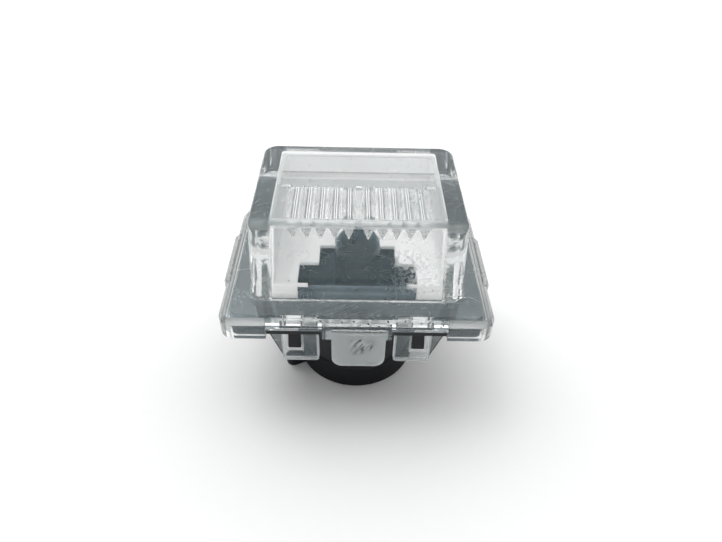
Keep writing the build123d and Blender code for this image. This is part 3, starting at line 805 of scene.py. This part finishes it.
centred = add_node(coil_tree, "GeometryNodeTransform", Geometry=wound.outputs[0], Translation=drop.outputs[0])
laid = add_node(
    coil_tree,
    "GeometryNodeTransform",
    Geometry=centred.outputs[0],
    Translation=given["Centre"],
    Rotation=(0.0, math.radians(90), 0.0),
)
real = add_node(coil_tree, "GeometryNodeRealizeInstances", Geometry=laid.outputs[0])
dressed = add_node(coil_tree, "GeometryNodeSetMaterial", Geometry=real.outputs[0], Material=given["Finish"])
coil_tree.links.new(dressed.outputs[0], result["Geometry"])

coil_low, coil_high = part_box("filament")
coil_centre = [(low + high) / 2 for low, high in zip(coil_low, coil_high)]
coil = grow(coil_tree, "bulb_coil", Centre=coil_centre, Finish=filament_wire)
hand_over(coil, "filament_wire", "filament")

# %% [markdown]
# Dirt has settled along the front bevel, where a cloth does not reach. Points are scattered over a strip the size of
# the bevel, each gets a small flake turned and scaled at random, and the whole strip is tilted into place just above
# the plastic. A seed keeps the specks where they are from run to run.

# %% Scattered flakes
flake_tree, given, result = new_shape_tree(
    "settled_dust",
    [
        ("Length", "Float", 37.0 * MM),
        ("Width", "Float", 1.3 * MM),
        ("Density", "Float", 1.0),
        ("Flake", "Float", 0.1 * MM),
        ("Seed", "Int", 1),
        ("Centre", "Vector", None),
        ("Tilt", "Vector", None),
        ("Finish", "Material", None),
    ],
)
strip = add_node(
    flake_tree, "GeometryNodeMeshGrid", Size_X=given["Length"], Size_Y=given["Width"], Vertices_X=2, Vertices_Y=2
)
spots = add_node(
    flake_tree,
    "GeometryNodeDistributePointsOnFaces",
    Mesh=strip.outputs[0],
    Density=given["Density"],
    Seed=given["Seed"],
)
flake = add_node(flake_tree, "GeometryNodeMeshCircle", {"fill_type": "NGON"}, Vertices=6, Radius=given["Flake"])


def random_vector(low, high):
    vectors = {"data_type": "FLOAT_VECTOR"}
    drawn = add_node(flake_tree, "FunctionNodeRandomValue", vectors, i0=low, i1=high, Seed=given["Seed"])
    return drawn.outputs[0]


placed = add_node(
    flake_tree,
    "GeometryNodeInstanceOnPoints",
    Points=spots.outputs["Points"],
    Instance=flake.outputs[0],
    Rotation=random_vector((0.0, 0.0, 0.0), (0.0, 0.0, 2 * math.pi)),
    Scale=random_vector((0.6, 0.5, 1.0), (1.6, 1.2, 1.0)),
)
tilted = add_node(
    flake_tree,
    "GeometryNodeTransform",
    Geometry=placed.outputs[0],
    Translation=given["Centre"],
    Rotation=given["Tilt"],
)
real = add_node(flake_tree, "GeometryNodeRealizeInstances", Geometry=tilted.outputs[0])
dressed = add_node(flake_tree, "GeometryNodeSetMaterial", Geometry=real.outputs[0], Material=given["Finish"])
flake_tree.links.new(dressed.outputs[0], result["Geometry"])
print("tree", flake_tree.name)

# %% [markdown]
# The flakes are dull and nearly black, with a little variation from one to the next. They lie along the middle of the
# bevel, which leans at forty-five degrees.

# %% Dirt on the bevel
dark_dust, tree, place = start_material("dark_dust")
cloud = use_group(tree, moulded_grain, Vector=place, Grain=0.05)["Cloud"]
dirt_colour = mix_colour(tree, cloud, (0.03, 0.03, 0.03, 1.0), (0.06, 0.058, 0.055, 1.0))
dull = add_node(tree, "ShaderNodeBsdfPrincipled", Base_Color=dirt_colour, Roughness=0.9)
end_material(tree, dull.outputs[0])

dark_specks = grow(
    flake_tree,
    "bevel_specks",
    Density=0.22 / MM**2,
    Flake=0.2 * MM,
    Seed=11,
    Centre=(0.0, -18.99 * MM, 24.49 * MM),
    Tilt=(math.radians(45), 0.0, 0.0),
    Finish=dark_dust,
)
hand_over(dark_specks, "black_housing")

# %% [markdown]
# Stage: a plain pale floor, with a soft lamp from the back left as in the photograph. The floor takes the shadow and
# is lifted a little for the camera so that it reads as white paper. What glass and gloss see is the same paper. Seen
# from below it is left open, so that the underside of the lamp can be looked at too.

# %% Floor
FLOOR_HALF = 1.5
PAPER_LIFT = 0.02
CORNERS = [(-1, -1), (1, -1), (1, 1), (-1, 1)]
floor_mesh = bpy.data.meshes.new("floor")
floor_mesh.from_pydata([(x * FLOOR_HALF, y * FLOOR_HALF, 0.0) for x, y in CORNERS], [], [(0, 1, 2, 3)])
floor = bpy.data.objects.new("floor", floor_mesh)
bpy.context.scene.collection.objects.link(floor)

paper, tree, place = start_material("paper")
fibre = add_node(tree, "ShaderNodeTexNoise", Vector=place, Scale=400.0, Detail=3.0)
paper_colour = mix_colour(tree, fibre.outputs[0], (0.9, 0.9, 0.9, 1.0), (0.88, 0.885, 0.885, 1.0))
matt = add_node(tree, "ShaderNodeBsdfDiffuse", Color=paper_colour)
seen = add_node(tree, "ShaderNodeLightPath").outputs["Is Camera Ray"]
lift = add_node(tree, "ShaderNodeEmission", Strength=math_node(tree, "MULTIPLY", seen, PAPER_LIFT))
both = add_node(tree, "ShaderNodeAddShader", i0=matt.outputs[0], i1=lift.outputs[0])
under = add_node(tree, "ShaderNodeNewGeometry").outputs["Backfacing"]
nothing = add_node(tree, "ShaderNodeBsdfTransparent")
one_sided = add_node(tree, "ShaderNodeMixShader", i0=under, i1=both.outputs[0], i2=nothing.outputs[0])
end_material(tree, one_sided.outputs[0])
floor_mesh.materials.append(paper)

# %% [markdown]
# The room has three levels, each with a front and a back. What the clear plastic mirrors and bends is plain white
# paper all round. What lights the outside comes mostly from behind, which lays the shadow towards the camera. What
# lights the inside through the lens comes mostly from the front, as from a window behind the camera. A ray that has
# been scattered once is light, one that has not is a view, and a scattered ray that passes through glass comes from
# inside. The camera itself sees plain white all round.

# %% Room
SEEN_FRONT, SEEN_BACK = 1.4, 1.3
LIGHT_FRONT, LIGHT_BACK = 0.14, 2.0
INSIDE_FRONT, INSIDE_BACK = 2.4, 0.8
world = bpy.data.worlds.new("studio")
bpy.context.scene.world = world
world.use_nodes = True
tree = world.node_tree
tree.nodes.clear()
direction = tree.nodes.new("ShaderNodeTexCoord").outputs["Generated"]
way = add_node(tree, "ShaderNodeSeparateXYZ", Vector=direction).outputs
seen = ramp(tree, way["Y"], -0.4, 0.5, SEEN_FRONT, SEEN_BACK)
cast = ramp(tree, way["Y"], -0.4, 0.5, LIGHT_FRONT, LIGHT_BACK)
within = ramp(tree, way["Y"], -0.5, 0.5, INSIDE_FRONT, INSIDE_BACK)
path = add_node(tree, "ShaderNodeLightPath").outputs
scattered = math_node(tree, "GREATER_THAN", path["Diffuse Depth"], 0.5)
light = add_node(tree, "ShaderNodeMix", i0=path["Is Transmission Ray"], i2=cast, i3=within).outputs[0]
brightness = add_node(tree, "ShaderNodeMix", i0=scattered, i2=seen, i3=light).outputs[0]
brightness = add_node(tree, "ShaderNodeMix", i0=path["Is Camera Ray"], i2=brightness, i3=1.0).outputs[0]
sky = add_node(tree, "ShaderNodeBackground", Color=(1.0, 1.0, 1.0, 1.0), Strength=brightness)
add_node(tree, "ShaderNodeOutputWorld", Surface=sky.outputs[0])
print("room with", len(tree.nodes), "nodes")

# %% [markdown]
# A round soft lamp hangs above and behind the object, to the left, and points at it. Light has to pass many walls of
# clear plastic, so the number of bounces is raised: with too few, the box would turn black where its walls overlap.

# %% Lamp
BOUNCES = 32
lamp_data = bpy.data.lights.new("soft_lamp", "AREA")
lamp_data.shape = "DISK"
lamp_data.size = 0.6
lamp_data.energy = 2.0
lamp = bpy.data.objects.new("soft_lamp", lamp_data)
lamp_place = Vector((-0.35, 0.35, 0.75))
lamp_aim = Vector((0.0, 0.0, 0.02)) - lamp_place
lamp.matrix_world = Matrix.Translation(lamp_place) @ lamp_aim.to_track_quat("-Z", "Y").to_matrix().to_4x4()
bpy.context.scene.collection.objects.link(lamp)
bpy.context.scene.view_settings.view_transform = "Standard"
bpy.context.scene.cycles.max_bounces = BOUNCES
bpy.context.scene.cycles.glossy_bounces = BOUNCES
bpy.context.scene.cycles.transmission_bounces = BOUNCES
print("lamp", lamp_data.energy, "W")
